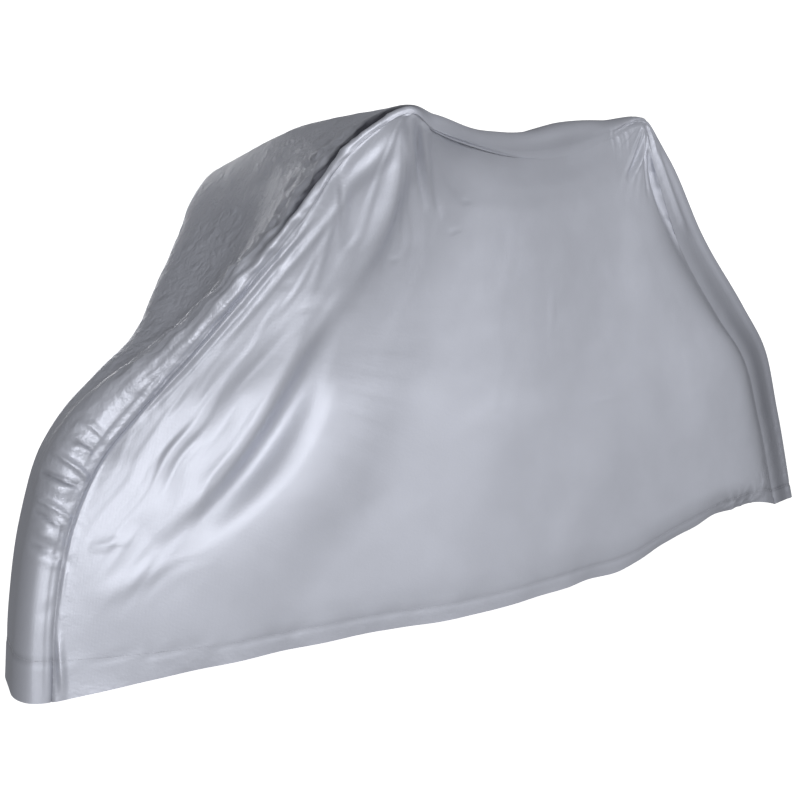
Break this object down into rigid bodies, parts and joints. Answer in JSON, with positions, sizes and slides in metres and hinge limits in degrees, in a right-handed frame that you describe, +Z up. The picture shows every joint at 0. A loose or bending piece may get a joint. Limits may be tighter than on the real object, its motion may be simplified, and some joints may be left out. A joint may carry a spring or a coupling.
{
  "type": "fitted bicycle cover",
  "caption": "Hollow draped cover for a bicycle: side panels sewn to a long centre gusset, wide over the grips, narrow round the wheels and open below.",
  "frame": {"origin": "inner face of the cloth at the back of the saddle, where the saddle carries the cover", "axes": "+X along the bicycle towards the rear, +Y to the right side, +Z up"},
  "size_m": [1.756, 0.6582, 0.9574],
  "materials": {
    "left_panel": "satin",
    "right_panel": "satin",
    "centre_gusset": "satin"
  },
  "bodies": {
    "root": {"left_panel": "left_panel", "right_panel": "right_panel", "centre_gusset": "centre_gusset"}
  },
  "joints": []
}
